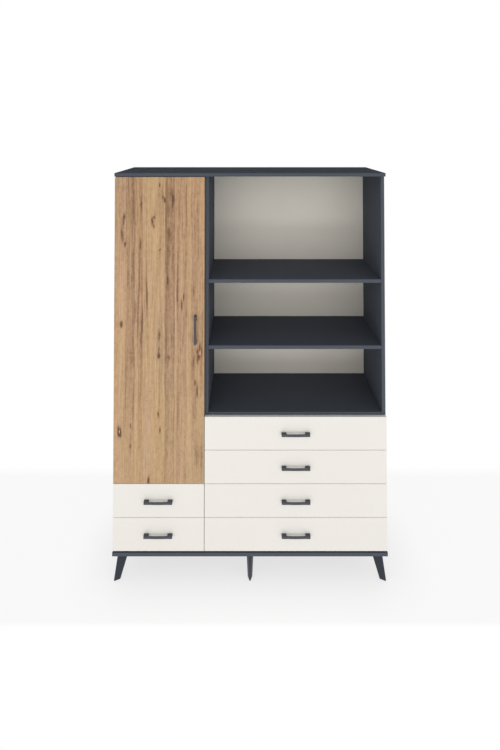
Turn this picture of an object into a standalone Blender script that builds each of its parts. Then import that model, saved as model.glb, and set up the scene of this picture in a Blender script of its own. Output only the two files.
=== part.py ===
"""A cupboard on splayed legs: a tall door over two drawers, beside open shelves over four drawers.

Metres, +Z up. The fronts face -Y, the feet stand on Z = 0, and the origin lies on the ground
under the middle of the whole object, handles included.
"""

from math import atan2, cos, pi, radians, sin

import bmesh
import bpy
from mathutils import Vector

# Gap between pieces that touch, half of it taken from each
FIT = 0.0003

# Boards of the two cabinets and the plates above and below them
BOARD = 0.016
BACK_BOARD = 0.003
LEFT_WIDTH = 0.400
RIGHT_WIDTH = 0.800
SIDE_HEIGHT = 1.635
PLATE_DEPTH = 0.400
PLATE_SIDE_OVERHANG = 0.001
PLATE_FRONT_OVERHANG = 0.002
EDGE_ROUND = 0.0008
BACK_EDGE_ROUND = 0.0004
EDGE_SEGMENTS = 2

# Door and drawer fronts
FRONT_BOARD = 0.018
FRONT_STANDOFF = 0.002
FRONT_GAP = 0.002
LOWEST_GAP = 0.0055
DRAWER_FRONT_HEIGHT = 0.143
LEFT_DRAWERS = 2
RIGHT_DRAWERS = 4

# Shelves
SHELF_LAP = 0.0055
OPEN_BAY_HEIGHT = 0.2755
OPEN_SHELVES = ("lower", "upper")
DOOR_SHELVES = ("lower", "middle", "upper")
DOOR_SHELF_SETBACK = 0.020
DOOR_SHELF_CLEARANCE = 0.0005

# Bridge handles: two square posts and a slightly bowed bar
HANDLE_LENGTH = 0.1245
HANDLE_POST_WIDTH = 0.021
HANDLE_POST_HEIGHT = 0.0108
HANDLE_BAR_HEIGHT = 0.0102
HANDLE_BAR_THICKNESS = 0.0045
HANDLE_PROJECTION = 0.019
HANDLE_BOW = 0.0010
HANDLE_OUTER_CORNER = 0.003
HANDLE_INNER_CORNER = 0.002
HANDLE_NECK = 0.004
HANDLE_EDGE = 0.0006
HANDLE_EDGE_SEGMENTS = 1
HANDLE_CORNER_STEPS = 3
HANDLE_BAR_SHARES = (0.6, 0.3, 0)
DOOR_HANDLE_INSET = 0.039

# Drawer boxes and the rails that carry them
RUNNER_CLEARANCE = 0.0125
BOX_RISE = 0.016
BOX_DROP = 0.021
BOX_BACK_CLEARANCE = 0.027
BOX_BOARD = 0.012
BOX_BOTTOM = 0.003
BOX_BOTTOM_RISE = 0.010
RAIL_SHEET = 0.0012
RAIL_HEIGHT = 0.030
RAIL_UNDER_BOX = 0.008
RAIL_SETBACK = 0.002
RAIL_BACK_CLEARANCE = 0.023

# Concealed hinges and the door's turning axis
HINGE_FROM_END = 0.100
PIVOT_FROM_EDGE = 0.004
PIVOT_FROM_BACK = 0.005
CUP_RADIUS = 0.0175
CUP_DEPTH = 0.0115
CUP_WALL = 0.001
CUP_FROM_EDGE = 0.005
CUP_FLOOR_CLEARANCE = 0.0005
CUP_FLANGE_CLEARANCE = 0.0009
CUP_FLANGE_RIM = 0.001
CUP_FLANGE_HEIGHT = 0.056
CUP_SIDES = 24
ARM_LENGTH = 0.060
ARM_HEIGHT = 0.014
ARM_REACH = 0.012
ARM_SETBACK = 0.0004
ARM_EDGE = 0.0015
ARM_PLATE = 0.002
ARM_PLATE_LENGTH = 0.030
ARM_PLATE_HEIGHT = 0.048
ARM_PLATE_SETBACK = 0.022

# Legs: sheet folded to a V whose bend faces outwards, under a mounting plate
LEG_HEIGHT = 0.112
LEG_SHEET = 0.002
LEG_BEND = 0.0035
LEG_HALF_ANGLE = radians(18)
LEG_FLANGE_TOP = 0.044
LEG_FLANGE_SOLE = 0.0225
LEG_SPLAY = 0.0202
LEG_BEND_STEPS = 6
LEG_END_INSET = 0.0076
LEG_FRONT_INSET = 0.011
LEG_PLATE = 0.0025
LEG_PLATE_MARGIN = 0.009
LEG_PLATE_NOSE = 0.002

# How far a cutter runs past the face that it opens
OVERRUN = 0.005
SMOOTH_ANGLE = radians(30)

# Colours as sRGB shares, with roughness and metallic value
GRAPHITE = ((0.245, 0.262, 0.300), 0.50, 0.0)
OAK = ((0.737, 0.608, 0.478), 0.50, 0.0)
CREAM = ((0.918, 0.902, 0.875), 0.45, 0.0)
GREIGE = ((0.880, 0.862, 0.830), 0.60, 0.0)
BOX_GREY = ((0.800, 0.790, 0.770), 0.60, 0.0)
DARK_METAL = ((0.280, 0.285, 0.310), 0.42, 0.6)
ZINC = ((0.720, 0.725, 0.735), 0.35, 1.0)

# Planes that several pieces share
PLATE_FRONT = (HANDLE_PROJECTION + HANDLE_BOW + FIT - PLATE_FRONT_OVERHANG - PLATE_DEPTH) / 2
PLATE_BACK = PLATE_FRONT + PLATE_DEPTH
FACE = PLATE_FRONT + PLATE_FRONT_OVERHANG
FRONT_BACK = FACE + FRONT_BOARD
CARCASS_FRONT = FRONT_BACK + FRONT_STANDOFF
CARCASS_BACK = PLATE_BACK - BACK_BOARD
LEFT_EDGE = -(LEFT_WIDTH + RIGHT_WIDTH) / 2
SEAM = LEFT_EDGE + LEFT_WIDTH
RIGHT_EDGE = SEAM + RIGHT_WIDTH
PLATE_LEFT = LEFT_EDGE - PLATE_SIDE_OVERHANG
PLATE_RIGHT = RIGHT_EDGE + PLATE_SIDE_OVERHANG
BASE = LEG_HEIGHT
FLOOR = BASE + BOARD
ROOF = FLOOR + SIDE_HEIGHT
TOP = ROOF + BOARD
DRAWER_PITCH = DRAWER_FRONT_HEIGHT + FRONT_GAP
DOOR_LOW = FLOOR + LOWEST_GAP + LEFT_DRAWERS * DRAWER_PITCH
DOOR_HIGH = ROOF - FRONT_GAP
LEFT_SHELF = DOOR_LOW - FRONT_GAP - SHELF_LAP
RIGHT_SHELF = FLOOR + LOWEST_GAP + RIGHT_DRAWERS * DRAWER_PITCH - FRONT_GAP - SHELF_LAP
DOOR_BAY = (ROOF - LEFT_SHELF - BOARD - len(DOOR_SHELVES) * BOARD) / (len(DOOR_SHELVES) + 1)
DOOR_LEFT = LEFT_EDGE + FRONT_GAP / 2
DOOR_RIGHT = SEAM - FRONT_GAP / 2
CUP_FLANGE = FRONT_STANDOFF - CUP_FLANGE_CLEARANCE
PIVOT = Vector((DOOR_LEFT + PIVOT_FROM_EDGE, FRONT_BACK - PIVOT_FROM_BACK, DOOR_LOW))


def clear_scene():
    for old in list(bpy.data.objects):
        bpy.data.objects.remove(old)


def linear(share):
    """One sRGB channel as the linear value that a shader takes."""
    return share / 12.92 if share <= 0.04045 else ((share + 0.055) / 1.055) ** 2.4


def make_material(name, look):
    colour, roughness, metallic = look
    material = bpy.data.materials.new(name)
    material.use_nodes = True
    shader = material.node_tree.nodes["Principled BSDF"]
    shader.inputs["Base Color"].default_value = (*map(linear, colour), 1)
    shader.inputs["Roughness"].default_value = roughness
    shader.inputs["Metallic"].default_value = metallic
    return material


def place_of(parent):
    """Where an unturned empty lies in the whole object."""
    return parent.location + place_of(parent.parent) if parent else Vector()


def add_empty(name, place, parent=None):
    """An axis or a frame that pieces hang on."""
    empty = bpy.data.objects.new(name, None)
    bpy.context.collection.objects.link(empty)
    empty.parent = parent
    empty.location = Vector(place) - place_of(parent)
    return empty


def add_piece(name, mesh, place, material, parent, turn=0.0):
    """An object whose origin lies at a place of the whole object, turned about Z."""
    piece = bpy.data.objects.new(name, mesh)
    bpy.context.collection.objects.link(piece)
    if material and not mesh.materials:
        mesh.materials.append(material)
    piece.parent = parent
    piece.location = Vector(place) - place_of(parent)
    piece.rotation_euler.z = turn
    return piece


def box_mesh(name, size):
    shape = bmesh.new()
    bmesh.ops.create_cube(shape, size=1)
    bmesh.ops.scale(shape, vec=size, verts=shape.verts)
    mesh = bpy.data.meshes.new(name)
    shape.to_mesh(mesh)
    shape.free()
    return mesh


def loft_mesh(name, loops):
    """A closed solid through loops of equally many points, capped at both ends."""
    shape = bmesh.new()
    rings = [[shape.verts.new(point) for point in loop] for loop in loops]
    for ring, following in zip(rings, rings[1:]):
        for i in range(len(ring)):
            j = (i + 1) % len(ring)
            shape.faces.new((ring[i], ring[j], following[j], following[i]))
    shape.faces.new(rings[0])
    shape.faces.new(rings[-1])
    bmesh.ops.recalc_face_normals(shape, faces=shape.faces)
    mesh = bpy.data.meshes.new(name)
    shape.to_mesh(mesh)
    shape.free()
    return mesh


def cylinder_mesh(name, radius, depth):
    """A disc along Y, centred on its origin."""
    circle = [2 * pi * i / CUP_SIDES for i in range(CUP_SIDES)]
    loops = [[(radius * cos(a), y, radius * sin(a)) for a in circle] for y in (-depth / 2, depth / 2)]
    return loft_mesh(name, loops)


def round_edges(piece, width, segments=EDGE_SEGMENTS):
    bevel = piece.modifiers.new("rounded edges", "BEVEL")
    bevel.width = width
    bevel.segments = segments
    bevel.limit_method = "ANGLE"
    bevel.angle_limit = SMOOTH_ANGLE


def board(name, low, high, material, parent, edge=EDGE_ROUND):
    """A board between two nominal corners, half a fit gap smaller on each face."""
    low, high = Vector(low), Vector(high)
    size = high - low - Vector((FIT, FIT, FIT))
    piece = add_piece(name, box_mesh(name, size), (low + high) / 2, material, parent)
    if edge:
        round_edges(piece, edge)
    return piece


def combine(piece, helper, operation):
    """Cuts a helper from a piece or joins it on, and keeps the helper out of the model."""
    helper.hide_render = True
    helper.display_type = "WIRE"
    modifier = piece.modifiers.new(helper.name, "BOOLEAN")
    modifier.operation = operation
    modifier.solver = "EXACT"
    modifier.object = helper


def cut_box(piece, name, low, high, parent):
    low, high = Vector(low), Vector(high)
    helper = add_piece(name, box_mesh(name, high - low), (low + high) / 2, None, parent)
    combine(piece, helper, "DIFFERENCE")


def handle_sections():
    """(outer point, inner point, half height) of each section, from one foot to the other."""
    half = HANDLE_LENGTH / 2
    inner = half - HANDLE_POST_WIDTH
    back = HANDLE_PROJECTION - HANDLE_BAR_THICKNESS
    post, bar = HANDLE_POST_HEIGHT / 2, HANDLE_BAR_HEIGHT / 2
    sections = [((half, 0), (inner, 0), post)]
    for step in range(HANDLE_CORNER_STEPS + 1):
        turn = pi / 2 * step / HANDLE_CORNER_STEPS
        outer_point = (
            half - HANDLE_OUTER_CORNER * (1 - cos(turn)),
            -HANDLE_PROJECTION + HANDLE_OUTER_CORNER * (1 - sin(turn)),
        )
        inner_point = (
            inner - HANDLE_INNER_CORNER * (1 - cos(turn)),
            -back + HANDLE_INNER_CORNER * (1 - sin(turn)),
        )
        sections.append((outer_point, inner_point, post))
    neck = inner - HANDLE_INNER_CORNER
    sections.append(((neck, -HANDLE_PROJECTION), (neck - HANDLE_NECK / 2, -back), post))
    reach = neck - HANDLE_NECK
    sections.append(((reach, -HANDLE_PROJECTION), (reach, -back), bar))
    for share in HANDLE_BAR_SHARES:
        bow = HANDLE_BOW * (1 - share * share)
        x = reach * share
        sections.append(((x, -HANDLE_PROJECTION - bow), (x, -back - bow), bar))
    mirrored = [((-ox, oy), (-ix, iy), h) for (ox, oy), (ix, iy), h in reversed(sections[:-1])]
    return sections + mirrored


def handle_mesh(upright):
    """The handle on its base plane Y = 0, lying along X or standing along Z."""
    loops = []
    for (ox, oy), (ix, iy), half in handle_sections():
        corners = [(ox, oy, half), (ox, oy, -half), (ix, iy, -half), (ix, iy, half)]
        loops.append([(z, y, x) for x, y, z in corners] if upright else corners)
    return loft_mesh("bridge_handle", loops)


def add_handle(name, x, z, upright, parent):
    handle = add_piece(name, handle_mesh(upright), (x, FACE - FIT / 2, z), dark_metal, parent)
    round_edges(handle, HANDLE_EDGE, HANDLE_EDGE_SEGMENTS)


def leg_section(nose, flange, height):
    """The V of a leg at one height, its bend towards -Y with the nose at the given Y."""
    centre = nose + LEG_BEND

    def side(radius, sign):
        x = sign * (radius * cos(LEG_HALF_ANGLE) + flange * sin(LEG_HALF_ANGLE))
        y = centre - radius * sin(LEG_HALF_ANGLE) + flange * cos(LEG_HALF_ANGLE)
        return x, y, height

    def bend(radius):
        sweep = pi - 2 * LEG_HALF_ANGLE
        turns = [-LEG_HALF_ANGLE - sweep * i / LEG_BEND_STEPS for i in range(LEG_BEND_STEPS + 1)]
        return [(radius * cos(a), centre + radius * sin(a), height) for a in turns]

    inside = LEG_BEND - LEG_SHEET
    outer = [side(LEG_BEND, 1), *bend(LEG_BEND), side(LEG_BEND, -1)]
    inner = [side(inside, -1), *reversed(bend(inside)), side(inside, 1)]
    return outer + inner


def leg_mesh():
    """The folded V and its mounting plate as one solid, its nose on the ground at the origin."""
    plate_middle = LEG_HEIGHT - LEG_PLATE / 2
    folded = loft_mesh(
        "leg",
        [leg_section(0, LEG_FLANGE_SOLE, 0), leg_section(LEG_SPLAY, LEG_FLANGE_TOP, plate_middle)],
    )
    outline = leg_section(LEG_SPLAY, LEG_FLANGE_TOP, plate_middle)
    half_width = max(x for x, _, _ in outline) + LEG_PLATE_MARGIN
    front = LEG_SPLAY - LEG_PLATE_NOSE
    back = max(y for _, y, _ in outline) + LEG_PLATE_MARGIN
    frame = add_empty("leg_shape", (0, 0, 0))
    leg = add_piece("leg_shape_fold", folded, (0, 0, 0), dark_metal, frame)
    plate = add_piece(
        "leg_shape_plate",
        box_mesh("leg_plate", (2 * half_width, back - front, LEG_PLATE)),
        (0, (front + back) / 2, plate_middle - FIT / 2),
        None,
        frame,
    )
    combine(leg, plate, "UNION")
    bpy.context.view_layer.update()
    graph = bpy.context.evaluated_depsgraph_get()
    mesh = bpy.data.meshes.new_from_object(leg.evaluated_get(graph))
    mesh.shade_smooth()
    mesh.set_sharp_from_angle(angle=SMOOTH_ANGLE)
    for helper in (leg, plate, frame):
        bpy.data.objects.remove(helper)
    return mesh


def add_legs(carcass):
    mesh = leg_mesh()
    plate_half_width = (PLATE_RIGHT - PLATE_LEFT) / 2
    plate_middle = (PLATE_FRONT + PLATE_BACK) / 2
    for row, forward in (("front", -1), ("rear", 1)):
        for column, sideways in (("left", -1), ("centre", 0), ("right", 1)):
            place = (
                sideways * (plate_half_width - LEG_END_INSET),
                plate_middle + forward * (PLATE_DEPTH / 2 - LEG_FRONT_INSET),
                0,
            )
            add_piece(f"leg_{row}_{column}", mesh, place, dark_metal, carcass, atan2(sideways, -forward))


def add_carcass_boards(carcass):
    for name, low, high in (("bottom_plate", BASE, FLOOR), ("top_plate", ROOF, TOP)):
        board(name, (PLATE_LEFT, PLATE_FRONT, low), (PLATE_RIGHT, PLATE_BACK, high), graphite, carcass)
    sides = {
        "left_outer_side": LEFT_EDGE,
        "left_inner_side": SEAM - BOARD,
        "right_inner_side": SEAM,
        "right_outer_side": RIGHT_EDGE - BOARD,
    }
    for name, x in sides.items():
        board(name, (x, CARCASS_FRONT, FLOOR), (x + BOARD, CARCASS_BACK, ROOF), graphite, carcass)
    for name, low, high in (("left", LEFT_EDGE, SEAM), ("right", SEAM, RIGHT_EDGE)):
        board(
            f"{name}_back_panel",
            (low, CARCASS_BACK, FLOOR),
            (high, PLATE_BACK, ROOF),
            greige,
            carcass,
            BACK_EDGE_ROUND,
        )


def add_shelf(name, column, z, carcass, setback=0.0, clearance=0.0):
    """A shelf between a column's two sides, its underside at height z."""
    left, right = column
    low = (left + BOARD + clearance, CARCASS_FRONT + setback, z)
    high = (right - BOARD - clearance, CARCASS_BACK - clearance, z + BOARD)
    board(name, low, high, graphite, carcass)


def add_shelves(carcass):
    """The fixed shelves lap behind the highest drawer fronts; the door's shelves share its room."""
    left_column, right_column = (LEFT_EDGE, SEAM), (SEAM, RIGHT_EDGE)
    add_shelf("left_fixed_shelf", left_column, LEFT_SHELF, carcass)
    add_shelf("right_fixed_shelf", right_column, RIGHT_SHELF, carcass)
    for i, name in enumerate(OPEN_SHELVES, start=1):
        z = RIGHT_SHELF + i * (BOARD + OPEN_BAY_HEIGHT)
        add_shelf(f"open_shelf_{name}", right_column, z, carcass)
    for i, name in enumerate(DOOR_SHELVES, start=1):
        z = LEFT_SHELF + i * (BOARD + DOOR_BAY)
        add_shelf(
            f"door_shelf_{name}", left_column, z, carcass, DOOR_SHELF_SETBACK, DOOR_SHELF_CLEARANCE
        )


def add_hinge_cup(name, z, x, door, axis):
    """A flanged cup let into the door's back, and the bore that takes it."""
    bore_depth = CUP_DEPTH + CUP_FLOOR_CLEARANCE
    bore = add_piece(
        f"{name}_bore",
        cylinder_mesh(f"{name}_bore", CUP_RADIUS, bore_depth + OVERRUN),
        (x, FRONT_BACK + (OVERRUN - bore_depth) / 2, z),
        None,
        axis,
    )
    combine(door, bore, "DIFFERENCE")
    half_width = CUP_RADIUS + CUP_FLANGE_RIM
    seat = FRONT_BACK + FIT / 2
    flange_size = (2 * half_width, CUP_FLANGE, CUP_FLANGE_HEIGHT)
    cup = add_piece(name, box_mesh(name, flange_size), (x, seat + CUP_FLANGE / 2, z), zinc, axis)
    body_length = CUP_DEPTH + CUP_FLANGE / 2
    body = add_piece(
        f"{name}_body",
        cylinder_mesh(f"{name}_body", CUP_RADIUS - FIT, body_length),
        (x, seat + CUP_FLANGE / 2 - body_length / 2, z),
        None,
        axis,
    )
    hollow_length = CUP_DEPTH - CUP_WALL + CUP_FLANGE + OVERRUN
    hollow = add_piece(
        f"{name}_hollow",
        cylinder_mesh(f"{name}_hollow", CUP_RADIUS - FIT - CUP_WALL, hollow_length),
        (x, seat + CUP_FLANGE + OVERRUN - hollow_length / 2, z),
        None,
        axis,
    )
    combine(cup, body, "UNION")
    combine(cup, hollow, "DIFFERENCE")


def add_hinge_arm(name, z, carcass):
    """The arm behind the cup on its plate, which is screwed to the inside of the side."""
    wall = LEFT_EDGE + BOARD
    arm_front = CARCASS_FRONT + ARM_SETBACK
    arm = board(
        name,
        (wall, arm_front, z - ARM_HEIGHT / 2),
        (wall + ARM_REACH, arm_front + ARM_LENGTH, z + ARM_HEIGHT / 2),
        zinc,
        carcass,
        ARM_EDGE,
    )
    low = Vector((wall + FIT / 2, CARCASS_FRONT + ARM_PLATE_SETBACK, z - ARM_PLATE_HEIGHT / 2))
    size = Vector((ARM_PLATE, ARM_PLATE_LENGTH, ARM_PLATE_HEIGHT))
    plate = add_piece(f"{name}_plate", box_mesh(f"{name}_plate", size), low + size / 2, None, carcass)
    combine(arm, plate, "UNION")


def add_door(carcass):
    axis = add_empty("door_hinge_axis", PIVOT, carcass)
    low, high = (DOOR_LEFT, FACE, DOOR_LOW), (DOOR_RIGHT, FRONT_BACK, DOOR_HIGH)
    door = board("door_panel", low, high, oak, axis)
    cup_x = DOOR_LEFT + CUP_FROM_EDGE + CUP_RADIUS
    second_bay = LEFT_SHELF + BOARD + DOOR_BAY + BOARD
    levels = {
        "lower": DOOR_LOW + HINGE_FROM_END,
        "middle": second_bay + DOOR_BAY / 2,
        "upper": DOOR_HIGH - HINGE_FROM_END,
    }
    for level, z in levels.items():
        add_hinge_cup(f"hinge_cup_{level}", z, cup_x, door, axis)
        add_hinge_arm(f"hinge_arm_{level}", z, carcass)
    handle_z = (DOOR_LOW + DOOR_HIGH) / 2
    add_handle("door_handle", DOOR_RIGHT - DOOR_HANDLE_INSET, handle_z, True, axis)


def add_drawer_box(name, low, high, slide):
    """Two sides, a back and a bottom let in above the lower edge, open towards the front."""
    box = board(name, low, high, box_grey, slide)
    inner_left, inner_right = low[0] + BOX_BOARD, high[0] - BOX_BOARD
    inner_back = high[1] - BOX_BOARD
    front = low[1] - OVERRUN
    bottom = low[2] + BOX_BOTTOM_RISE
    cut_box(
        box,
        f"{name}_room",
        (inner_left, front, bottom + BOX_BOTTOM),
        (inner_right, inner_back, high[2] + OVERRUN),
        slide,
    )
    cut_box(
        box,
        f"{name}_underside",
        (inner_left, front, low[2] - OVERRUN),
        (inner_right, inner_back, bottom),
        slide,
    )


def add_rail(name, wall, inward, ledge_top, carcass):
    """An angle of sheet on a cabinet side, with a ledge that the drawer box runs on."""
    ledge = RUNNER_CLEARANCE + RAIL_UNDER_BOX
    outline = [
        (0, 0),
        (ledge, 0),
        (ledge, RAIL_SHEET),
        (RAIL_SHEET, RAIL_SHEET),
        (RAIL_SHEET, RAIL_HEIGHT),
        (0, RAIL_HEIGHT),
    ]
    length = CARCASS_BACK - RAIL_BACK_CLEARANCE - CARCASS_FRONT - RAIL_SETBACK
    loops = [[(inward * x, y, z) for x, z in outline] for y in (0, length)]
    place = (
        wall + inward * FIT / 2,
        CARCASS_FRONT + RAIL_SETBACK,
        ledge_top - FIT / 2 - RAIL_SHEET,
    )
    add_piece(name, loft_mesh(name, loops), place, zinc, carcass)


def add_drawer(name, column, z, carcass):
    """A front with its handle, the box behind it and the pair of rails, z being the front's low edge."""
    left, right = column
    middle = (left + right) / 2
    slide = add_empty(f"{name}_slide", (middle, FACE, z), carcass)
    board(
        f"{name}_front",
        (left + FRONT_GAP / 2, FACE, z),
        (right - FRONT_GAP / 2, FRONT_BACK, z + DRAWER_FRONT_HEIGHT),
        cream,
        slide,
    )
    add_handle(f"{name}_handle", middle, z + DRAWER_FRONT_HEIGHT / 2, False, slide)
    runner = BOARD + RUNNER_CLEARANCE
    box_low = (left + runner, FRONT_BACK, z + BOX_RISE)
    box_high = (right - runner, CARCASS_BACK - BOX_BACK_CLEARANCE, z + DRAWER_FRONT_HEIGHT - BOX_DROP)
    add_drawer_box(f"{name}_box", box_low, box_high, slide)
    add_rail(f"{name}_rail_left", left + BOARD, 1, box_low[2], carcass)
    add_rail(f"{name}_rail_right", right - BOARD, -1, box_low[2], carcass)


def add_drawers(carcass):
    """Both stacks, numbered from the top down."""
    stacks = (
        ("left", (LEFT_EDGE, SEAM), LEFT_DRAWERS),
        ("right", (SEAM, RIGHT_EDGE), RIGHT_DRAWERS),
    )
    for side, column, count in stacks:
        for number in range(1, count + 1):
            z = FLOOR + LOWEST_GAP + (count - number) * DRAWER_PITCH
            add_drawer(f"{side}_drawer_{number}", column, z, carcass)


clear_scene()
graphite = make_material("graphite_board", GRAPHITE)
oak = make_material("oak_front", OAK)
cream = make_material("cream_front", CREAM)
greige = make_material("greige_back_board", GREIGE)
box_grey = make_material("drawer_board", BOX_GREY)
dark_metal = make_material("dark_metal", DARK_METAL)
zinc = make_material("zinc_plated_steel", ZINC)

carcass_frame = add_empty("carcass_frame", (0, 0, 0))
add_carcass_boards(carcass_frame)
add_shelves(carcass_frame)
add_legs(carcass_frame)
add_door(carcass_frame)
add_drawers(carcass_frame)
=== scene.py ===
"""A cupboard on splayed legs, dressed: a tall oak door over two drawers, beside open shelves over
four drawers. Metres, +Z up, the fronts face -Y."""

from math import atan2, cos, pi, radians, sin, tan

import bmesh
import bpy
from mathutils import Matrix, Vector


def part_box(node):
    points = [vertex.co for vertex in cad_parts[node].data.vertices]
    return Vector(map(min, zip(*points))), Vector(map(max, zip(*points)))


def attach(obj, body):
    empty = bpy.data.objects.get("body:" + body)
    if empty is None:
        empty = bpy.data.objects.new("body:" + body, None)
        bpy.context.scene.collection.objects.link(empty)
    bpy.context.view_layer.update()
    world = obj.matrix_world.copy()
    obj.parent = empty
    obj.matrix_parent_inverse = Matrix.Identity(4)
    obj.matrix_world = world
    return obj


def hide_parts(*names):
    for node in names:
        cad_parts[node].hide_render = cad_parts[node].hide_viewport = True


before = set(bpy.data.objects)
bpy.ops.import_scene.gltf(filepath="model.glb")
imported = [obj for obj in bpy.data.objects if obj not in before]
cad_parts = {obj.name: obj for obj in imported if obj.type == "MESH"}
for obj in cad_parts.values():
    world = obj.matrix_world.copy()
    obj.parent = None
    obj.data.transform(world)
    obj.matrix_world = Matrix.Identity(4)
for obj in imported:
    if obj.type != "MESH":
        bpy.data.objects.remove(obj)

bpy.ops.object.select_all(action="DESELECT")
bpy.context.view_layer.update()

# The camera stands in front of the cupboard, a little higher than its top, and is tipped up by
# 1.3 degrees. Its lens is shifted down, as on a view camera, so the uprights stay nearly parallel.
PICTURE_HEIGHT = 750
FOCAL_PIXELS = 522.96
AXIS_ROW = 120.9
CAMERA_DISTANCE = 2.3213
CAMERA_RISE = 1.8433
CAMERA_TIP = 0.0234

plate_low, plate_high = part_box("bottom_plate")
bpy.ops.object.camera_add(
    location=(0, plate_low.y - CAMERA_DISTANCE, plate_low.z + CAMERA_RISE),
    rotation=(pi / 2 + CAMERA_TIP, 0, 0),
)
camera = bpy.context.object
camera.data.lens = camera.data.sensor_width * FOCAL_PIXELS / PICTURE_HEIGHT
camera.data.shift_y = (AXIS_ROW - PICTURE_HEIGHT / 2) / PICTURE_HEIGHT
bpy.context.scene.camera = camera
bpy.context.scene.view_settings.view_transform = "Standard"

# The studio is a pale floor in front of a white backdrop, with a soft, faintly tinted shadow. The
# world glows most where the fronts face, and less above, beside and behind the cupboard. A long low
# soft box in front lifts the lower fronts, a weak one hangs higher up, and a third stands behind.
FLOOR_WIDTH = 9.0
FLOOR_FRONT = -4.0
FLOOR_BACK = 0.62
LIGHT_ALL_ROUND = 0.52
LIGHT_FROM_FRONT = 0.85
LOSS_HIGH_UP = 0.75
FLOOR_COLOUR = (0.90, 0.90, 0.91, 1)
FLOOR_ROUGHNESS = 0.9
FLOOR_GLOW = 0.78
FLOOR_SHADE = 0.10
WHITE = (1, 1, 1, 1)
SHADOW_SAMPLES = 16
SHADOW_REACH = 0.25
SHADOW_DEPTH = 0.24
SHADOW_TINT = (1.0, 0.982, 0.982, 1)
FADE_FRONT = (-0.40, -0.37)
FADE_BACK = (0.50, 0.62)


class Value:
    """A shader socket with arithmetic: an expression on it adds the Math nodes that it needs."""

    def __init__(self, tree, socket):
        self.tree, self.socket = tree, socket

    def node(self, kind, settings=None, inputs=None, output=0):
        """Any other node: its settings are made first, then the values or links of its sockets."""
        made = self.tree.nodes.new("ShaderNode" + kind)
        for key, value in (settings or {}).items():
            if key == "stops":
                stops = made.color_ramp.elements
                for number, (place, colour) in enumerate(value):
                    stop = stops[number] if number < 2 else stops.new(place)
                    stop.position, stop.color = place, colour
            else:
                setattr(made, key, value)
        for key, value in (inputs or {}).items():
            if isinstance(value, Value):
                self.tree.links.new(value.socket, made.inputs[key])
            else:
                made.inputs[key].default_value = value
        return Value(self.tree, made.outputs[output])

    def math(self, operation, *others):
        return self.node("Math", {"operation": operation}, dict(enumerate((self, *others))))

    def __add__(self, other):
        return self.math("ADD", other)

    def __sub__(self, other):
        return self.math("SUBTRACT", other)

    def __rsub__(self, other):
        return self.node("Math", {"operation": "SUBTRACT"}, {0: other, 1: self})

    def __mul__(self, other):
        return self.math("MULTIPLY", other)

    def __gt__(self, other):
        return self.math("GREATER_THAN", other)

    def __lt__(self, other):
        return self.math("LESS_THAN", other)

    __radd__, __rmul__ = __add__, __mul__

    def into(self, shader, socket):
        self.tree.links.new(self.socket, shader.inputs[socket])

    def between(self, low, high):
        """A smooth step from 0 at low to 1 at high."""
        return self.node("MapRange", {"interpolation_type": "SMOOTHSTEP"}, {0: self, 1: low, 2: high})

    def mix(self, low, high):
        """A colour from low, where this value is 0, to high, where it is 1."""
        return self.node("Mix", {"data_type": "RGBA"}, {0: self, 6: low, 7: high}, output=2)

    def axis(self, number):
        """One coordinate of a place."""
        return self.node("SeparateXYZ", None, {0: self}, output=number)


def seen_directly(tree):
    """1 for the rays that are to find a white background: from the camera, a gloss or glass."""
    rays = tree.nodes.new("ShaderNodeLightPath")
    seen = Value(tree, rays.outputs["Is Camera Ray"])
    for ray in ("Is Glossy Ray", "Is Transmission Ray"):
        seen = seen.math("MAXIMUM", Value(tree, rays.outputs[ray]))
    return seen


world = bpy.data.worlds.new("studio")
bpy.context.scene.world = world
world.use_nodes = True
background = world.node_tree.nodes["Background"]
sky = world.node_tree.nodes.new("ShaderNodeTexCoord")
seen = seen_directly(world.node_tree)
direction = Value(world.node_tree, sky.outputs["Generated"])
towards_front = (0 - direction.axis(1)).math("MAXIMUM", 0)
lowness = 1 - direction.axis(2).math("POWER", 2) * LOSS_HIGH_UP
glow = (towards_front * LIGHT_FROM_FRONT + LIGHT_ALL_ROUND) * lowness
(seen + (1 - seen) * glow).into(background, "Strength")
background.inputs["Color"].default_value = WHITE

for name, place, aim, width, height, power in (
    ("low_front", (0, -2.4, 0.20), (0, 0, 0.20), 4.0, 0.4, 12),
    ("high_front", (0, -2.6, 2.2), (0, 0, 1.3), 2.4, 0.8, 2),
    ("behind", (0, 3.0, 0.8), (0, 0, 0.8), 3.0, 1.2, 20),
):
    turn = (Vector(aim) - Vector(place)).to_track_quat("-Z", "Y").to_euler()
    bpy.ops.object.light_add(type="AREA", location=place, rotation=turn)
    lamp = bpy.context.object
    lamp.name = lamp.data.name = name
    lamp.data.shape = "RECTANGLE"
    lamp.data.size, lamp.data.size_y = width, height
    lamp.data.energy = power
    lamp.visible_camera = False

bpy.ops.mesh.primitive_plane_add(size=1, location=(0, (FLOOR_FRONT + FLOOR_BACK) / 2, 0))
floor = bpy.context.object
floor.name = "studio_floor"
floor.scale = (FLOOR_WIDTH, FLOOR_BACK - FLOOR_FRONT, 1)
bpy.ops.object.transform_apply(location=True, rotation=True, scale=True)
floor_finish = bpy.data.materials.new("studio_floor")
floor_finish.use_nodes = True
tree = floor_finish.node_tree
plain = tree.nodes["Principled BSDF"]
plain.inputs["Base Color"].default_value = FLOOR_COLOUR
plain.inputs["Roughness"].default_value = FLOOR_ROUGHNESS
plain.inputs["Specular IOR Level"].default_value = 0
white = tree.nodes.new("ShaderNodeEmission")
seen = seen_directly(tree)
depth = Value(tree, tree.nodes.new("ShaderNodeTexCoord").outputs["Object"]).axis(1)
inside = depth.between(*FADE_FRONT) * (1 - depth.between(*FADE_BACK))
occlusion = seen.node(
    "AmbientOcclusion", {"samples": SHADOW_SAMPLES}, {"Distance": SHADOW_REACH}, output=1
)
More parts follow.
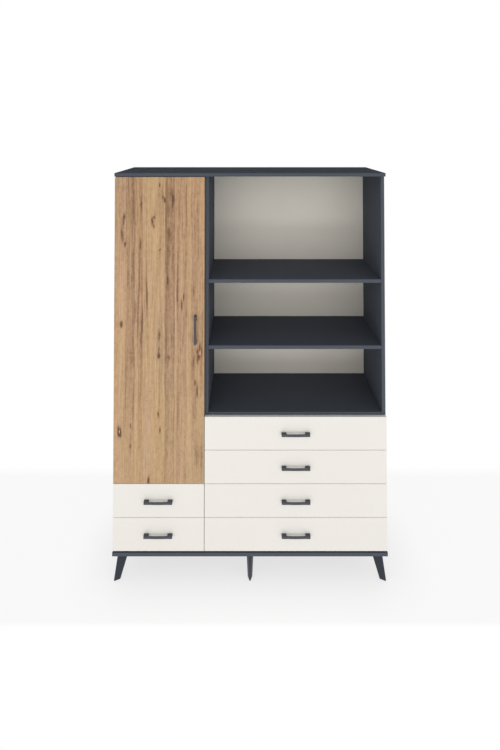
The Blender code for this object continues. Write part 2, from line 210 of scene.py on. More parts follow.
shadow = (1 - occlusion) * inside
(1 - shadow * SHADOW_DEPTH).into(white, "Strength")
shadow.mix(WHITE, SHADOW_TINT).into(white, "Color")
whitened = seen * (1 - inside * FLOOR_SHADE) + (1 - seen) * FLOOR_GLOW
both = tree.nodes.new("ShaderNodeMixShader")
tree.links.new(whitened.socket, both.inputs[0])
tree.links.new(plain.outputs[0], both.inputs[1])
tree.links.new(white.outputs[0], both.inputs[2])
tree.links.new(both.outputs[0], tree.nodes["Material Output"].inputs["Surface"])
floor.data.materials.append(floor_finish)

# Carcass boards: 16 mm chipboard faced with matt graphite melamine, duller on the top plate, whose
# upper face is darkened by painted shade. A 1 mm band closes each front edge, and its joint shows as
# a hair line behind it.


def paint(red, green, blue):
    """A colour of 0 to 255 a channel as the linear colour that a shader takes."""
    shares = [channel / 255 for channel in (red, green, blue)]
    return (*[s / 12.92 if s <= 0.04045 else ((s + 0.055) / 1.055) ** 2.4 for s in shares], 1)


GRAPHITE = paint(82, 87, 96)
GRAPHITE_DARK = paint(74, 79, 88)
GRAPHITE_JOINT_AND_SHADE = paint(38, 40, 46)
BAND = 0.0010
BAND_JOINT = 0.00012
FACING = 0.5
BOARDS = (
    "top_plate", "bottom_plate", "left_outer_side", "left_inner_side", "right_inner_side",
    "right_outer_side", "left_fixed_shelf", "right_fixed_shelf", "open_shelf_lower",
    "open_shelf_upper", "door_shelf_lower", "door_shelf_middle", "door_shelf_upper",
)


def new_finish(name, roughness, metallic=0.0, specular=0.5):
    """A material, its shader, and the place on the piece that its pattern is drawn by."""
    material = bpy.data.materials.new(name)
    material.use_nodes = True
    shader = material.node_tree.nodes["Principled BSDF"]
    shader.inputs["Roughness"].default_value = roughness
    shader.inputs["Metallic"].default_value = metallic
    shader.inputs["Specular IOR Level"].default_value = specular
    coordinates = material.node_tree.nodes.new("ShaderNodeTexCoord")
    return material, shader, Value(material.node_tree, coordinates.outputs["Object"])


def noise(place, scale, detail=2.0, roughness=0.5):
    """Cloudy noise from -0.5 to 0.5, so many clouds to the metre."""
    inputs = {"Vector": place, "Scale": scale, "Detail": detail, "Roughness": roughness}
    return place.node("TexNoise", None, inputs) - 0.5


def emboss(height, shader, distance):
    """Raises a surface by a height times a distance."""
    inputs = {"Strength": 1.0, "Distance": distance, "Height": height}
    height.node("Bump", None, inputs).into(shader, "Normal")


def dress(material, *nodes):
    """Gives a material to solids that keep their own shape."""
    for node in nodes:
        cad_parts[node].material_slots[0].material = material


for name, gloss, shade, boards in (
    ("graphite_top", 0.01, 0.40, BOARDS[:1]),
    ("graphite_boards", 0.12, 0.0, BOARDS[1:]),
):
    graphite, shader, place = new_finish(name, 0.75, specular=gloss)
    fleck = noise(place, 1400, 2)
    cloud = noise(place, 5, 3)
    joint_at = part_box(boards[0])[0].y + BAND
    joint = (place.axis(1) - joint_at).math("ABSOLUTE") < BAND_JOINT
    melamine = (0.5 + fleck * 0.9 + cloud * 0.5).mix(GRAPHITE_DARK, GRAPHITE)
    # Painted shade: on the top plate the upper face is darkened, as if less light fell on it.
    upward = place.node("NewGeometry", output=1).axis(2) > FACING
    (joint * 0.6 + upward * shade).mix(melamine, GRAPHITE_JOINT_AND_SHADE).into(shader, "Base Color")
    (0.75 + cloud * 0.12 + fleck * 0.10).into(shader, "Roughness")
    emboss(fleck - joint, shader, 0.00006)
    dress(graphite, *boards)

# Back panels: 3 mm hardboard, lacquered in a warm light grey on the room side and raw brown on the
# wall side, nailed into the rear edges of the boards all round.
BACK_COLOUR = paint(234, 229, 217)
BACK_COLOUR_DEEP = paint(225, 219, 207)
RAW_FIBRE = paint(150, 112, 78)
RAW_FIBRE_DARK = paint(112, 80, 54)
NAIL_RADIUS = 0.0024
NAIL_HEIGHT = 0.0006
NAIL_INSET = 0.008
NAIL_PITCH = 0.12
STRAIGHT = 0.9
SMOOTH_UNDER = radians(35)

hardboard, shader, place = new_finish("lacquered_hardboard", 0.6, specular=0.3)
pore = noise(place, 700, 3)
drift = noise(place, 4, 3)
fibre = noise(place, 160, 8, 0.75)
rear = place.node("NewGeometry", output=1).axis(1) > -FACING
lacquer = (0.5 + pore * 0.5 + drift).mix(BACK_COLOUR_DEEP, BACK_COLOUR)
raw = (0.5 + fibre * 1.6 + drift * 0.6).mix(RAW_FIBRE_DARK, RAW_FIBRE)
rear.mix(lacquer, raw).into(shader, "Base Color")
(0.55 + rear * 0.3 + pore * 0.1).into(shader, "Roughness")
emboss(pore + rear * fibre * 2, shader, 0.00008)
dress(hardboard, "left_back_panel", "right_back_panel")


def leave():
    """Back to object mode, with nothing selected."""
    if bpy.context.mode != "OBJECT":
        bpy.ops.object.mode_set(mode="OBJECT")
    bpy.ops.object.select_all(action="DESELECT")


def take(piece):
    """Leaves one piece selected and active, in object mode."""
    leave()
    piece.select_set(True)
    bpy.context.view_layer.objects.active = piece


def settle(name):
    """Names a new primitive and puts its place and size in its mesh."""
    piece = bpy.context.object
    piece.name = piece.data.name = name
    bpy.ops.object.transform_apply(location=True, rotation=True, scale=True)
    return piece


def start_disc(name, foot, way, radius, height, sides=20):
    """A cylinder that stands with its foot at a place and rises a given way."""
    leave()
    way = Vector(way)
    bpy.ops.mesh.primitive_cylinder_add(
        vertices=sides,
        radius=radius,
        depth=height,
        location=Vector(foot) + way * height / 2,
        rotation=way.to_track_quat("Z", "Y").to_euler(),
    )
    return settle(name)


def pick(piece, kind, test):
    """Goes into edit mode with those faces or edges selected whose middle and direction pass a test."""
    take(piece)
    bpy.ops.object.mode_set(mode="EDIT")
    bpy.ops.mesh.select_mode(type=kind)
    shape = bmesh.from_edit_mesh(piece.data)
    for part in (*shape.verts, *shape.edges, *shape.faces):
        part.select = False
    for part in shape.faces if kind == "FACE" else shape.edges:
        if kind == "FACE":
            middle, way = part.calc_center_median(), part.normal
        else:
            start, end = (corner.co for corner in part.verts)
            middle, way = (start + end) / 2, (end - start).normalized()
        if test(middle, way):
            part.select_set(True)
    shape.select_flush_mode()
    bmesh.update_edit_mesh(piece.data)


def as_model(piece):
    """Keeps a shaped piece as a mesh to be copied, and takes the piece itself away."""
    take(piece)
    mesh = piece.data
    bpy.data.objects.remove(piece)
    return mesh


def facing(foot, way, spin=0.0):
    """Where a model goes whose +Z is to point a given way."""
    turn = Vector(way).to_track_quat("Z", "Y").to_matrix().to_4x4()
    return Matrix.Translation(foot) @ turn @ Matrix.Rotation(spin, 4, "Z")


def spread(name, model, places):
    """Sets a copy of a model, with its own mesh, at each place, and joins them to one piece."""
    copies = []
    for matrix in places:
        copy = bpy.data.objects.new(name, model.copy())
        copy.data.transform(matrix)
        bpy.context.collection.objects.link(copy)
        copies.append(copy)
    take(copies[0])
    for copy in copies[1:]:
        copy.select_set(True)
    if copies[1:]:
        bpy.ops.object.join()
    copies[0].name = copies[0].data.name = name
    return copies[0]


def fit(piece, material, body, replaces=()):
    """Gives a shaped piece its finish, its body and the nodes that it stands for."""
    take(piece)
    bpy.ops.object.shade_smooth_by_angle(angle=SMOOTH_UNDER)
    piece.data.materials.clear()
    piece.data.materials.append(material)
    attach(piece, body)
    if replaces:
        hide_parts(*replaces)


zinc, shader, place = new_finish("zinc_plated_steel", 0.34, metallic=1.0)
spangle = noise(place, 220, 3)
haze = noise(place, 30, 2)
(0.5 + spangle + haze * 0.6).mix(paint(176, 178, 182), paint(208, 210, 214)).into(shader, "Base Color")
(0.34 + spangle * 0.25 + haze * 0.15).into(shader, "Roughness")
emboss(spangle, shader, 0.00002)

nail = start_disc("nail", (0, 0, 0), (0, 0, 1), NAIL_RADIUS, NAIL_HEIGHT, 12)
pick(nail, "FACE", lambda middle, way: way.z > STRAIGHT)
bpy.ops.mesh.inset(thickness=NAIL_RADIUS / 3, depth=NAIL_HEIGHT / 4)
bpy.ops.mesh.inset(thickness=NAIL_RADIUS / 3, depth=NAIL_HEIGHT / 8)
nail = as_model(nail)
for side in ("left", "right"):
    low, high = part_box(f"{side}_back_panel")
    rows = round((high.z - low.z) / NAIL_PITCH)
    columns = round((high.x - low.x) / NAIL_PITCH)
    shelves = [f"{side}_fixed_shelf"]
    if side == "right":
        shelves += ["open_shelf_lower", "open_shelf_upper"]
    places = []
    for row in range(rows + 1):
        z = low.z + NAIL_INSET + row * (high.z - low.z - 2 * NAIL_INSET) / rows
        places += [(low.x + NAIL_INSET, z), (high.x - NAIL_INSET, z)]
    for column in range(1, columns):
        x = low.x + NAIL_INSET + column * (high.x - low.x - 2 * NAIL_INSET) / columns
        places += [(x, low.z + NAIL_INSET), (x, high.z - NAIL_INSET)]
        for shelf in shelves:
            shelf_low, shelf_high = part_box(shelf)
            places.append((x, (shelf_low.z + shelf_high.z) / 2))
    seats = [facing((x, high.y, z), (0, 1, 0)) for x, z in places]
    fit(spread(f"{side}_back_panel_nails", nail, seats), zinc, "carcass")

# Screws: countersunk and pan heads with a cross recess, zinc plated. One head is modelled, and each
# group of screws is a set of copies of it. Here they close the plates on the sides from outside.
SCREW_RADIUS = 0.0036
SCREW_HEIGHT = 0.0015
RECESS_REACH = 0.0022
RECESS_WIDTH = 0.0006
RECESS_DEPTH = 0.0010
SIDE_SCREW_INSET = 0.050
HAIR = 1e-5


def start_block(name, low, high):
    """A cube stretched between two corners, still to be shaped."""
    leave()
    low, high = Vector(low), Vector(high)
    bpy.ops.mesh.primitive_cube_add(size=1, location=(low + high) / 2, scale=high - low)
    return settle(name)


def near(one, other):
    return abs(one - other) < HAIR


def modify(piece, kind, **settings):
    """Puts one modifier on a piece and applies it."""
    take(piece)
    modifier = piece.modifiers.new(kind.lower(), kind)
    for setting, value in settings.items():
        setattr(modifier, setting, value)
    bpy.ops.object.modifier_apply(modifier=modifier.name)


def combine(piece, helper, operation):
    """Joins a helper to a piece, or cuts it away, and takes the helper off."""
    modify(piece, "BOOLEAN", operation=operation, solver="EXACT", object=helper)
    bpy.data.objects.remove(helper)


screw = start_disc("screw", (0, 0, 0), (0, 0, 1), SCREW_RADIUS, SCREW_HEIGHT)
pick(screw, "EDGE", lambda middle, way: near(middle.z, SCREW_HEIGHT))
bpy.ops.mesh.bevel(offset=SCREW_HEIGHT * 0.6, segments=3)
for reach_x, reach_y in ((RECESS_REACH, RECESS_WIDTH), (RECESS_WIDTH, RECESS_REACH)):
    cross = start_block(
        "recess",
        (-reach_x, -reach_y, SCREW_HEIGHT - RECESS_DEPTH),
        (reach_x, reach_y, SCREW_HEIGHT * 2),
    )
    combine(screw, cross, "DIFFERENCE")
screw = as_model(screw)

sides = [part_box(name) for name in BOARDS[2:6]]
places = []
for low, high in sides:
    middle = (low.x + high.x) / 2
    for y in (low.y + SIDE_SCREW_INSET, (low.y + high.y) / 2, high.y - SIDE_SCREW_INSET):
        places.append(facing((middle, y, plate_low.z), (0, 0, -1), y))
fit(spread("bottom_plate_screws", screw, places), zinc, "carcass")

# Connectors: the shelves hang on eccentric fittings let into their undersides, each under a thin
# round cover of graphite plastic with a slot to lift it by.
COVER_RADIUS = 0.0085
COVER_HEIGHT = 0.0010
COVER_FROM_END = 0.034
COVER_FROM_FRONT = 0.060
SLOT_WIDTH = 0.0012

plastic, shader, place = new_finish("graphite_plastic", 0.5, specular=0.3)
grain = noise(place, 1800, 2)
(0.5 + grain).mix(paint(58, 61, 68), paint(70, 74, 82)).into(shader, "Base Color")
emboss(grain, shader, 0.00004)

cover = start_disc("cover", (0, 0, 0), (0, 0, 1), COVER_RADIUS, COVER_HEIGHT, 28)
pick(cover, "EDGE", lambda middle, way: near(middle.z, COVER_HEIGHT))
bpy.ops.mesh.bevel(offset=COVER_HEIGHT * 0.6, segments=2)
slot_cut = start_block(
    "slot",
    (-COVER_RADIUS / 2, -SLOT_WIDTH / 2, COVER_HEIGHT / 2),
    (COVER_RADIUS / 2, SLOT_WIDTH / 2, COVER_HEIGHT * 2),
)
combine(cover, slot_cut, "DIFFERENCE")
cover = as_model(cover)
places = []
for name in ("left_fixed_shelf", "right_fixed_shelf", "open_shelf_lower", "open_shelf_upper"):
    low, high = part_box(name)
    for x in (low.x + COVER_FROM_END, high.x - COVER_FROM_END):
        for y in (low.y + COVER_FROM_FRONT, high.y - COVER_FROM_FRONT):
            places.append(facing((x, y, low.z), (0, 0, -1)))
fit(spread("connector_covers", cover, places), plastic, "carcass")

# Shelf supports: the three shelves behind the door lie on zinc spoons, a pin in the side and a flat
# tongue under the shelf, four to a shelf.
PIN_RADIUS = 0.0025
SPOON_LENGTH = 0.010
SPOON_WIDTH = 0.009
SPOON_THICKNESS = 0.0018
SPOON_GAP = 0.0003
SPOON_EDGE = 0.0004
SPOON_FROM_FRONT = 0.037
ROUND_OVER = radians(30)


def round_edges(piece, width, segments=2):
    modify(
        piece, "BEVEL", width=width, segments=segments, limit_method="ANGLE", angle_limit=ROUND_OVER
    )


tongue = start_block(
    "spoon", (0, -SPOON_WIDTH / 2, -SPOON_THICKNESS), (SPOON_LENGTH, SPOON_WIDTH / 2, 0)
)
pick(tongue, "EDGE", lambda middle, way: abs(way.z) > STRAIGHT and near(middle.x, SPOON_LENGTH))
bpy.ops.mesh.bevel(offset=SPOON_WIDTH / 3, segments=4)
round_edges(tongue, SPOON_EDGE)
pin_foot = (0, 0, -SPOON_THICKNESS - PIN_RADIUS / 2)
pin = start_disc("pin", pin_foot, (1, 0, 0), PIN_RADIUS, SPOON_LENGTH / 2, 16)
combine(tongue, pin, "UNION")
spoon = as_model(tongue)
left_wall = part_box("left_outer_side")[1].x
right_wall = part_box("left_inner_side")[0].x
places = []
for level in ("lower", "middle", "upper"):
    low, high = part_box(f"door_shelf_{level}")
    z = low.z - SPOON_GAP
    for y in (low.y + SPOON_FROM_FRONT, high.y - SPOON_FROM_FRONT):
        places.append(Matrix.Translation((left_wall, y, z)))
        places.append(Matrix.Translation((right_wall, y, z)) @ Matrix.Rotation(pi, 4, "Z"))
fit(spread("door_shelf_supports", spoon, places), zinc, "carcass")

# Legs: 2 mm sheet steel folded to a V whose bend faces outwards, leaning out towards the ground, on a
# plate with four screws. All of it is powder coated in a dark graphite.
LEG_HEIGHT = 0.112
LEG_SHEET = 0.002
LEG_EDGE = 0.0003
LEG_BEND = 0.0035
LEG_HALF_ANGLE = radians(18)
LEG_FLANGE_TOP = 0.044
LEG_FLANGE_SOLE = 0.0225
LEG_SPLAY = 0.0202
LEG_END_INSET = 0.0076
LEG_FRONT_INSET = 0.011
LEG_PLATE = 0.0025
LEG_PLATE_EDGE = 0.0004
LEG_PLATE_MARGIN = 0.009
LEG_PLATE_NOSE = 0.002
LEG_PLATE_CORNER = 0.005
LEG_SCREW_INSET = 0.006


def powder_coat(name, dark, light):
    """A coat with a fine orange peel and a little dust."""
    coating, shader, place = new_finish(name, 0.5, metallic=0.15, specular=0.25)
    peel = noise(place, 1500, 2)
    dust = noise(place, 60, 3)
    (0.5 + peel * 0.8 + dust * 0.4).mix(dark, light).into(shader, "Base Color")
    (0.5 + peel * 0.15 + dust * 0.15).into(shader, "Roughness")
    emboss(peel, shader, 0.00005)
    return coating


leg_coat = powder_coat("dark_leg_coat", paint(44, 48, 56), paint(56, 61, 71))

tangent = LEG_BEND / tan(LEG_HALF_ANGLE)
apex = LEG_BEND / sin(LEG_HALF_ANGLE) - LEG_BEND
reach_top, reach_sole = tangent + LEG_FLANGE_TOP, tangent + LEG_FLANGE_SOLE
sheet_height = LEG_HEIGHT - LEG_PLATE
leave()
bpy.ops.mesh.primitive_plane_add(
    size=1, location=(0, LEG_SPLAY - apex, sheet_height / 2), rotation=(pi / 2, 0, 0)
)
bpy.context.object.scale = (2 * reach_top * sin(LEG_HALF_ANGLE), sheet_height, 1)
leg = settle("leg")
pick(leg, "FACE", lambda middle, way: True)
bpy.ops.mesh.bisect(plane_co=(0, 0, 0), plane_no=(1, 0, 0))
pick(leg, "EDGE", lambda middle, way: abs(way.z) > STRAIGHT and abs(middle.x) > LEG_BEND)
bpy.ops.transform.translate(value=(0, reach_top * cos(LEG_HALF_ANGLE), 0))
pick(leg, "EDGE", lambda middle, way: near(middle.z, 0))
bpy.ops.transform.resize(
    value=(reach_sole / reach_top, reach_sole / reach_top, 1),
    center_override=(0, LEG_SPLAY - apex, 0),
)
bpy.ops.transform.translate(value=(0, -LEG_SPLAY, 0))
pick(leg, "EDGE", lambda middle, way: near(middle.x, 0))
bpy.ops.mesh.bevel(offset=tangent, segments=12)
modify(leg, "SOLIDIFY", thickness=LEG_SHEET, offset=-1)
for level in (0, sheet_height):
    pick(leg, "FACE", lambda middle, way: abs(middle.z - level) < LEG_SHEET and abs(way.z) > FACING)
    bpy.ops.transform.resize(value=(1, 1, 0), center_override=(0, 0, level))
round_edges(leg, LEG_EDGE)
leg = as_model(leg)

plate_half = LEG_BEND * cos(LEG_HALF_ANGLE) + LEG_FLANGE_TOP * sin(LEG_HALF_ANGLE) + LEG_PLATE_MARGIN
plate_nose = LEG_SPLAY - LEG_PLATE_NOSE
plate_tail = LEG_SPLAY - apex + reach_top * cos(LEG_HALF_ANGLE) + LEG_PLATE_MARGIN
leg_plate = start_block(
    "leg_plate", (-plate_half, plate_nose, sheet_height), (plate_half, plate_tail, LEG_HEIGHT)
)
pick(leg_plate, "EDGE", lambda middle, way: abs(way.z) > STRAIGHT)
bpy.ops.mesh.bevel(offset=LEG_PLATE_CORNER, segments=5)
round_edges(leg_plate, LEG_PLATE_EDGE)
leg_plate = as_model(leg_plate)

plates_middle = (plate_low.y + plate_high.y) / 2
screw_places = []
for row, forward in (("front", -1), ("rear", 1)):
    for column, sideways in (("left", -1), ("centre", 0), ("right", 1)):
        x = sideways * (plate_high.x - LEG_END_INSET)
        y = plates_middle + forward * ((plate_high.y - plate_low.y) / 2 - LEG_FRONT_INSET)
        stand = Matrix.Translation((x, y, 0)) @ Matrix.Rotation(atan2(sideways, -forward), 4, "Z")
        folded = spread(f"leg_{row}_{column}_sheet", leg, [stand])
        fit(folded, leg_coat, "carcass", [f"leg_{row}_{column}"])
        seat = spread(f"leg_{row}_{column}_plate", leg_plate, [stand])
        fit(seat, leg_coat, "carcass")
        for end in (plate_nose + LEG_SCREW_INSET, plate_tail - LEG_SCREW_INSET):
            for side in (LEG_SCREW_INSET - plate_half, plate_half - LEG_SCREW_INSET):
                screw_places.append(stand @ facing((side, end, sheet_height), (0, 0, -1)))
fit(spread("leg_screws", screw, screw_places), zinc, "carcass")

# Door: one board in a knotty oak decor, laid out as upright strips of lighter and darker wood. The
# decor runs on over the edge bands and the back. Strips and knots are placed on the door as seen.
OAK_DARKEST = paint(76, 52, 37)
OAK_DARK = paint(134, 104, 76)
OAK_MIDDLE = paint(178, 146, 110)
OAK_LIGHT = paint(199, 166, 126)
OAK_PALE = paint(214, 184, 142)
OAK_RED = paint(142, 98, 68)
COOL_TINT = (0.99, 1.00, 1.00, 1)
WARM_TINT = (1.04, 0.96, 0.97, 1)
GREY_TINT = (0.99, 1.00, 1.12, 1)
HONEY_TINT = (1.01, 1.00, 0.88, 1)
STRIPS = (
    # from the door's left edge, softness of the joint, change of tone there, change of redness
    (0.048, 0.014, -0.05, 0.10),
    (0.070, 0.006, -0.09, 0.20),
    (0.091, 0.003, 0.12, -0.15),
    (0.107, 0.003, -0.06, 0.10),
    (0.126, 0.003, 0.09, -0.25),
    (0.223, 0.004, -0.17, 0.10),
    (0.267, 0.002, 0.17, 0.10),
    (0.276, 0.003, -0.11, 0.20),
    (0.290, 0.004, 0.05, -0.10),
    (0.311, 0.003, -0.04, -0.10),
    (0.321, 0.003, 0.07, 0.00),
    (0.341, 0.006, -0.05, 0.10),
    (0.362, 0.006, 0.05, -0.05),
)
KNOTS = (
    # from the door's left edge, above its lower edge, half width, half height, depth of colour, which
    # is negative for the pale heart of a ring; the long thin ones are dark lines in the grain
    (0.168, 1.136, 0.0036, 0.008, 0.66),
    (0.165, 1.147, 0.0030, 0.010, 0.60),
    (0.175, 1.160, 0.0050, 0.005, 0.45),
    (0.173, 1.120, 0.0036, 0.006, 0.60),
    (0.173, 1.165, 0.0120, 0.040, 0.12),
    (0.258, 1.237, 0.0034, 0.012, 0.90),
    (0.258, 1.252, 0.0036, 0.008, 0.26),
    (0.257, 1.212, 0.0028, 0.012, 0.42),
    (0.246, 1.270, 0.0100, 0.022, 0.16),
    (0.238, 1.190, 0.0060, 0.025, 0.16),
    (0.221, 1.236, 0.0030, 0.010, 0.90),
    (0.213, 1.248, 0.0040, 0.006, 0.40),
    (0.199, 1.302, 0.0028, 0.008, 0.60),
    (0.042, 1.162, 0.0036, 0.010, 0.62),
    (0.038, 1.140, 0.0050, 0.018, 0.35),
    (0.031, 1.097, 0.0034, 0.018, 0.42),
    (0.035, 1.070, 0.0060, 0.020, 0.26),
    (0.047, 1.040, 0.0034, 0.010, 0.66),
    (0.118, 1.218, 0.0028, 0.022, 0.40),
    (0.084, 1.215, 0.0050, 0.080, 0.14),
    (0.083, 0.940, 0.0040, 0.070, 0.14),
    (0.201, 1.016, 0.0028, 0.005, 0.62),
    (0.240, 1.092, 0.0055, 0.026, 0.26),
    (0.237, 0.990, 0.0060, 0.070, 0.10),
    (0.115, 1.040, 0.0030, 0.020, 0.40),
    (0.236, 0.882, 0.0028, 0.015, 0.85),
    (0.144, 0.809, 0.0028, 0.056, 0.52),
    (0.105, 0.700, 0.0024, 0.130, 0.36),
    (0.307, 0.808, 0.0022, 0.012, 0.80),
    (0.298, 0.775, 0.0028, 0.022, 0.66),
    (0.278, 0.820, 0.0040, 0.050, 0.22),
    (0.351, 0.836, 0.0026, 0.014, 0.24),
    (0.032, 0.691, 0.0050, 0.014, 0.80),
    (0.124, 0.695, 0.0030, 0.055, 0.50),
    (0.119, 0.622, 0.0022, 0.020, 0.22),
    (0.198, 0.552, 0.0050, 0.010, 0.90),
    (0.198, 0.578, 0.0044, 0.016, 0.30),
    (0.199, 0.640, 0.0040, 0.022, 0.45),
    (0.242, 0.545, 0.0060, 0.010, 0.27),
    (0.378, 0.585, 0.0040, 0.016, 0.60),
    (0.368, 0.568, 0.0040, 0.012, 0.55),
    (0.374, 0.548, 0.0056, 0.008, 0.60),
    (0.387, 0.570, 0.0028, 0.018, 0.42),
    (0.379, 0.568, 0.0024, 0.010, -0.26),
    (0.369, 0.530, 0.0040, 0.014, 0.40),
    (0.351, 0.524, 0.0044, 0.024, 0.26),
    (0.357, 0.435, 0.0030, 0.010, 0.45),
    (0.366, 0.400, 0.0040, 0.022, 0.40),
    (0.358, 0.330, 0.0080, 0.060, 0.12),
    (0.022, 0.237, 0.0045, 0.010, 0.55),
    (0.020, 0.220, 0.0034, 0.012, 0.70),
    (0.027, 0.208, 0.0055, 0.008, 0.80),
    (0.031, 0.224, 0.0034, 0.014, 0.66),
    (0.026, 0.222, 0.0022, 0.006, -0.65),
    (0.074, 0.162, 0.0030, 0.008, 0.45),
    (0.074, 0.250, 0.0024, 0.008, 0.40),
    (0.204, 0.230, 0.0028, 0.010, 0.80),
    (0.195, 0.297, 0.0026, 0.010, 0.75),
    (0.154, 0.010, 0.0036, 0.018, 0.80),
    (0.366, 0.130, 0.0100, 0.050, 0.18),
    (0.386, 0.110, 0.0040, 0.060, 0.26),
    (0.030, 1.270, 0.0400, 0.160, 0.09),
    (0.117, 1.150, 0.0030, 0.110, 0.12),
    (0.319, 1.170, 0.0026, 0.140, 0.15),
    (0.298, 1.120, 0.0030, 0.060, 0.14),
    (0.092, 0.740, 0.0036, 0.050, 0.24),
    (0.110, 0.925, 0.0030, 0.100, 0.16),
    (0.141, 0.895, 0.0024, 0.090, 0.20),
    (0.281, 0.885, 0.0030, 0.110, 0.16),
    (0.076, 0.535, 0.0070, 0.030, 0.16),
    (0.338, 1.190, 0.0040, 0.060, 0.14),
    (0.052, 0.430, 0.0090, 0.130, 0.08),
    (0.383, 0.490, 0.0040, 0.045, 0.16),
    (0.281, 0.130, 0.0070, 0.110, 0.08),
    (0.283, 0.285, 0.0040, 0.045, 0.16),
)
PLANK_ENDS = (
    # a plank's two edges from the door's left, its end above the door's lower edge, depth of colour
    (0.066, 0.090, 0.566, 0.22),
    (0.142, 0.172, 0.398, 0.10),
    (0.340, 0.362, 0.792, 0.10),
    (0.280, 0.316, 1.010, 0.06),
)
END_LINE = 0.0016
WANDER_ACROSS = 0.006
WANDER_ALONG = 0.010
RIPPLE_ACROSS = 0.0016
RIPPLE_ALONG = 0.0120
KNOT_PUSH = 0.010
STRIP_SHIFT_ACROSS = 0.31
STRIP_SHIFT_ALONG = 0.17
FIRST_BLUSH = 0.35

door_low, door_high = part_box("door_panel")
oak, shader, place = new_finish("knotty_oak", 0.5, specular=0.30)
ripple = noise(place, 90, 3)
across = place.axis(0) - door_low.x + noise(place, 6, 2) * WANDER_ACROSS + ripple * RIPPLE_ACROSS
along = place.axis(2) - door_low.z + noise(place, 25, 2) * WANDER_ALONG + ripple * RIPPLE_ALONG
bands, blush, strip = 0.0, FIRST_BLUSH, 0.0
for edge, softness, change, redness in STRIPS:
    past_joint = across.between(edge - softness, edge + softness)
    bands = past_joint * change + bands
    blush = past_joint * redness + blush
    strip = (across > edge) + strip
spot = place.node("CombineXYZ", None, {"X": across, "Z": along})
dark = 0.0
for knot_x, knot_z, half_width, half_height, depth in KNOTS:
    shares = (1 / half_width, 0, 1 / half_height)
    start = (-knot_x / half_width, 0, -knot_z / half_height)
    away = spot.node("VectorMath", {"operation": "MULTIPLY_ADD"}, {0: spot, 1: shares, 2: start})
    square = away.node("VectorMath", {"operation": "DOT_PRODUCT"}, {0: away, 1: away}, output=1)
    falloff = square.math("MULTIPLY_ADD", square, 1).math("POWER", -1)
    dark = falloff.math("MULTIPLY_ADD", depth, dark)
for left, right, level, depth in PLANK_ENDS:
    on_plank = (across > left) * (across < right)
    dark = on_plank * ((along - level).math("ABSOLUTE") < END_LINE) * depth + dark
grain_across = across + dark * KNOT_PUSH + strip * STRIP_SHIFT_ACROSS


def streak(scale, stretch, detail=4, roughness=0.6):
    """Noise drawn out along the grain, which bends round the knots and starts anew in each strip."""
    grain_along = along * stretch + strip * STRIP_SHIFT_ALONG
    drawn = {"X": grain_across, "Y": place.axis(1), "Z": grain_along}
    return noise(place.node("CombineXYZ", None, drawn), scale, detail, roughness)


broad = streak(30, 0.040)
medium = streak(85, 0.030)
fine = streak(190, 0.030, 5, 0.7)
mottle = streak(80, 0.48, 5, 0.8)
pore = streak(900, 0.020, 2, 0.5).between(0.12, 0.28)
upper = along.between(0.05, 0.60)
# The tone runs from 0, the darkest wood, to 1, the palest, and varies less towards the door's foot.
tone = 0.585 - upper * 0.025 + bands * (upper * 0.42 + 0.54) + broad * (upper * 0.20 + 0.20)
tone = tone + (medium * 0.28 + fine * 0.66) * (upper * 0.30 + 0.70) + mottle * 0.54
tone = tone - pore * 0.08 - dark * (0.80 + ripple * 0.7)
stops = (
    (0.0, OAK_DARKEST), (0.30, OAK_DARK), (0.52, OAK_MIDDLE), (0.72, OAK_LIGHT), (1.0, OAK_PALE),
)
grain = tone.node("ValToRGB", {"stops": stops}, {0: tone})
red_line = streak(75, 0.022, 3, 0.6).between(0.10, 0.26) + dark * 0.9
warm = (red_line * 0.40).math("MINIMUM", 0.6).mix(grain, OAK_RED)
redden = (blush * (upper * 0.7 + 0.3) + streak(20, 0.050, 3, 0.5) * 1.4).mix(COOL_TINT, WARM_TINT)
yellow = (0.5 + streak(34, 0.045, 3, 0.5) * 2.0).mix(GREY_TINT, HONEY_TINT)
tint = redden.node("VectorMath", {"operation": "MULTIPLY"}, {0: redden, 1: yellow})
warm.node("VectorMath", {"operation": "MULTIPLY"}, {0: warm, 1: tint}).into(shader, "Base Color")
(0.48 + fine * 0.15 + pore * 0.12).into(shader, "Roughness")
emboss(fine * 0.5 - pore - dark * 0.5, shader, 0.00018)
dress(oak, "door_panel")

# Bumpers: clear silicone pads on the backs of the door and the drawer fronts, where these close on
# the carcass, pressed to half the gap.
PAD_RADIUS = 0.0040
PAD_HEIGHT = 0.0015
PAD_INSET = 0.0075
PAD_FROM_END = 0.030

silicone, shader, place = new_finish("clear_silicone", 0.35, specular=0.5)
bloom = noise(place, 300, 2)
(0.5 + bloom).mix(paint(205, 206, 204), paint(228, 229, 227)).into(shader, "Base Color")

pad = start_disc("pad", (0, 0, 0), (0, 0, 1), PAD_RADIUS, PAD_HEIGHT, 18)
pick(pad, "EDGE", lambda middle, way: near(middle.z, PAD_HEIGHT))
bpy.ops.mesh.bevel(offset=PAD_HEIGHT * 0.8, segments=4)
pad = as_model(pad)
places = [
    facing((door_high.x - PAD_INSET, door_high.y, z), (0, 1, 0))
    for z in (door_low.z + PAD_FROM_END, door_high.z - PAD_FROM_END)
]
fit(spread("door_pads", pad, places), silicone, "door")

